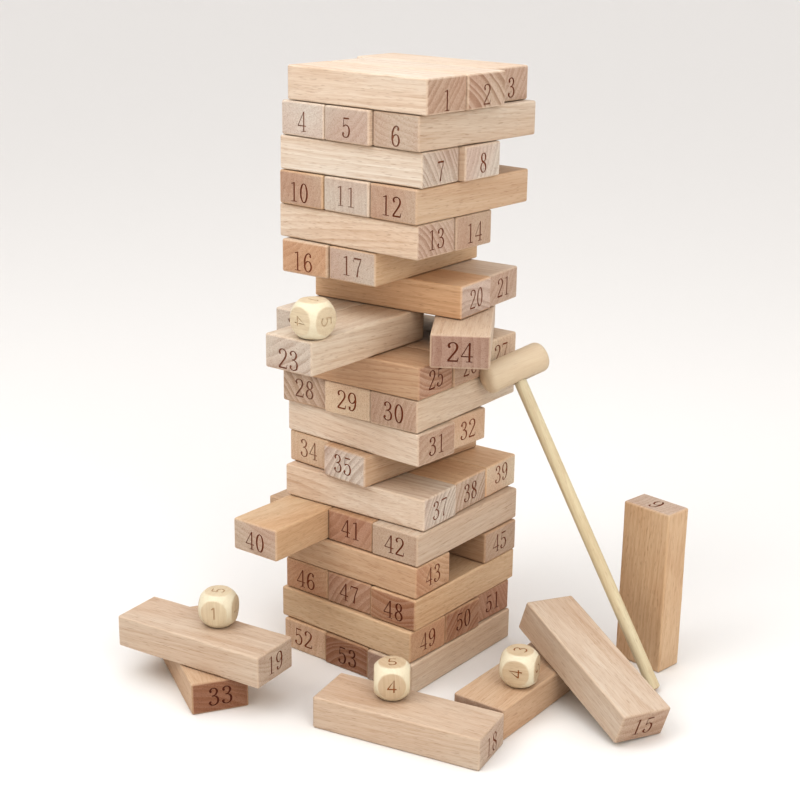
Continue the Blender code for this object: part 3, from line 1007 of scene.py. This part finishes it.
def add_head(middle, along, material, draw):
    """The head, which lies across the handle. The middle of each end is its farthest point."""
    points = [vertex.co for vertex in frame["nodes"]["mallet_head"].data.vertices]
    lengthwise = max(points, key=lambda point: (point - middle).length) - middle
    lengthwise = (lengthwise - along * lengthwise.dot(along)).normalized()
    shape = Shape()
    turned(shape, head_profile(), HEAD_SPOKES, HEAD_END_GRAIN)
    place = placed(along, lengthwise.cross(along), lengthwise, middle)
    head = shape.finish("turned_mallet_head", place, material, TURNED_EDGE_ANGLE)
    drill(head, HANDLE_RADIUS + BORE_GAP, -2 * HEAD_RADIUS, HANDLE_PAST_MIDDLE + BORE_GAP)
    tree, _ = tree_of(draw)
    set_wood(head, HEAD_TONES, HEAD_FIGURE, tree)
    settle(head, "mallet_head")


def add_handle(foot, across, along, material, draw):
    """The handle, a dowel with its two ends eased."""
    top = HANDLE_REACH + HANDLE_PAST_MIDDLE
    eased = HANDLE_RADIUS - HANDLE_EASE
    profile = [(0.0, 0.0), (0.0, eased), (HANDLE_EASE, HANDLE_RADIUS)]
    for step in range(1, HANDLE_STATIONS):
        profile.append((top * step / HANDLE_STATIONS, HANDLE_RADIUS))
    profile += [(top - HANDLE_EASE, HANDLE_RADIUS), (top, eased), (top, 0.0)]
    shape = Shape()
    turned(shape, profile, HANDLE_SPOKES, HANDLE_END_GRAIN)
    place = placed(across.cross(along), across, along, foot)
    handle = shape.finish("dowel_mallet_handle", place, material, TURNED_EDGE_ANGLE)
    tree, _ = tree_of(draw)
    set_wood(handle, HANDLE_TONES, HANDLE_FIGURE, tree)
    settle(handle, "mallet_handle")


# ================================================================ studio
FLOOR_REACH, FLOOR_FLAT = 40.0, 12.0    # half the floor's size, and how far out it starts to rise
FLOOR_RISE = 0.025          # the rise is this times the square of the distance past that
FLOOR_CELLS = 60
FLOOR_COLOUR = (230, 228, 225)

# The light from all round, as linear values, and its strength; and what is seen of it directly.
ROOM_LIGHT, ROOM_STRENGTH = (1.0, 0.84, 0.69, 1.0), 0.345
ROOM_SEEN = (0.90, 0.875, 0.85, 1.0)
SKY_LIGHT, SKY_POWER, SKY_SPREAD = (0.95, 1.0, 1.07), 2.1, 100.0

# The lamps: the place, what it is aimed at, its diameter, power in watts and colour.
LAMPS = {
    "crown": ((0.02, -0.06, 0.54), (0.0, 0.0, 0.20), 0.25, 0.26, (0.84, 1.0, 1.15)),
    "key": ((-0.25, -0.62, 0.85), (0.0, 0.0, 0.18), 0.60, 3.0, (0.99, 1.0, 1.0)),
    "fill": ((1.0, -0.5, 0.7), (0.0, 0.0, 0.10), 0.90, 5.5, (1.0, 0.985, 0.955)),
}

# The camera: its place, and in degrees the side that it looks from, its height and its roll.
CAMERA_PLACE = (0.4058, -0.5224, 0.3239)
CAMERA_AZIMUTH, CAMERA_ELEVATION, CAMERA_ROLL = 37.92, 17.53, 0.774
CAMERA_LENS, SENSOR_WIDTH = 70.6, 36.0
NEAREST_SEEN = 0.01
VIEW_GAMMA = 0.8            # deepens the mid tones


def add_lamp(name, place, target, size, power, colour):
    """A round soft lamp, aimed at a point."""
    data = bpy.data.lights.new(name, "AREA")
    data.shape = "DISK"
    data.size = size
    data.energy = power
    data.color = colour
    lamp = bpy.data.objects.new(name, data)
    bpy.context.scene.collection.objects.link(lamp)
    lamp.location = place
    lamp.rotation_euler = (Vector(target) - Vector(place)).to_track_quat("-Z", "Y").to_euler()


def add_sky_light():
    """Light from the whole sky above, even over any floor."""
    data = bpy.data.lights.new("sky", "SUN")
    data.energy = SKY_POWER
    data.angle = math.radians(SKY_SPREAD)
    data.color = SKY_LIGHT
    lamp = bpy.data.objects.new("sky", data)
    bpy.context.scene.collection.objects.link(lamp)


def add_world():
    """Warm light from all round, as off the wood and walls of a room. Seen directly, it is pale."""
    world = bpy.data.worlds.new("studio")
    bpy.context.scene.world = world
    world.use_nodes = True
    nodes, links = world.node_tree.nodes, world.node_tree.links
    warm = nodes["Background"]
    warm.inputs["Color"].default_value = ROOM_LIGHT
    warm.inputs["Strength"].default_value = ROOM_STRENGTH
    pale = nodes.new("ShaderNodeBackground")
    pale.inputs["Color"].default_value = ROOM_SEEN
    choice = nodes.new("ShaderNodeMixShader")
    links.new(nodes.new("ShaderNodeLightPath").outputs["Is Camera Ray"], choice.inputs["Fac"])
    links.new(warm.outputs["Background"], choice.inputs[1])
    links.new(pale.outputs["Background"], choice.inputs[2])
    links.new(choice.outputs["Shader"], nodes["World Output"].inputs["Surface"])


def add_floor():
    """A pale floor that rises far away."""
    mesh = bpy.data.meshes.new("floor")
    shape = bmesh.new()
    bmesh.ops.create_grid(shape, x_segments=FLOOR_CELLS, y_segments=FLOOR_CELLS, size=FLOOR_REACH)
    for vertex in shape.verts:
        vertex.co.z = FLOOR_RISE * max(vertex.co.length - FLOOR_FLAT, 0.0) ** 2
    shape.to_mesh(mesh)
    shape.free()
    mesh.shade_smooth()
    floor = bpy.data.objects.new("floor", mesh)
    bpy.context.scene.collection.objects.link(floor)
    g = Graph("floor_paper")
    g.shader.inputs["Base Color"].default_value = rgb(FLOOR_COLOUR)
    g.shader.inputs["Roughness"].default_value = 0.9
    g.shader.inputs["Specular IOR Level"].default_value = 0.1
    mesh.materials.append(g.material)


def add_camera():
    """The studio camera, a little above the tower and to its near right."""
    azimuth, elevation = math.radians(CAMERA_AZIMUTH), math.radians(CAMERA_ELEVATION)
    roll = math.radians(CAMERA_ROLL)
    back = Vector((math.sin(azimuth) * math.cos(elevation),
                   -math.cos(azimuth) * math.cos(elevation),
                   math.sin(elevation)))
    level = Vector((math.cos(azimuth), math.sin(azimuth), 0.0))
    upward = back.cross(level)
    right = level * math.cos(roll) + upward * math.sin(roll)
    up = upward * math.cos(roll) - level * math.sin(roll)
    data = bpy.data.cameras.new("camera")
    data.lens = CAMERA_LENS
    data.sensor_width = SENSOR_WIDTH
    data.clip_start = NEAREST_SEEN
    camera = bpy.data.objects.new("camera", data)
    bpy.context.scene.collection.objects.link(camera)
    camera.matrix_world = placed(right, up, back, Vector(CAMERA_PLACE))
    bpy.context.scene.camera = camera


def add_studio():
    """The floor, the light and the camera."""
    add_floor()
    add_world()
    add_sky_light()
    for name, facts in LAMPS.items():
        add_lamp(name, *facts)
    add_camera()
    bpy.context.scene.view_settings.view_transform = "Standard"
    bpy.context.scene.view_settings.gamma = VIEW_GAMMA


def main():
    """Every piece of the game in its wood, and the studio around it."""
    woods = {name: wood_material(name) for name in WOODS}
    for number in range(1, BLOCK_COUNT + 1):
        add_block(number, woods["sanded_hardwood"])
    for name, facts in DICE.items():
        add_die(name, facts, woods["dice_wood"])
    add_mallet(woods["mallet_wood"], woods["dowel_wood"])
    add_studio()


main()
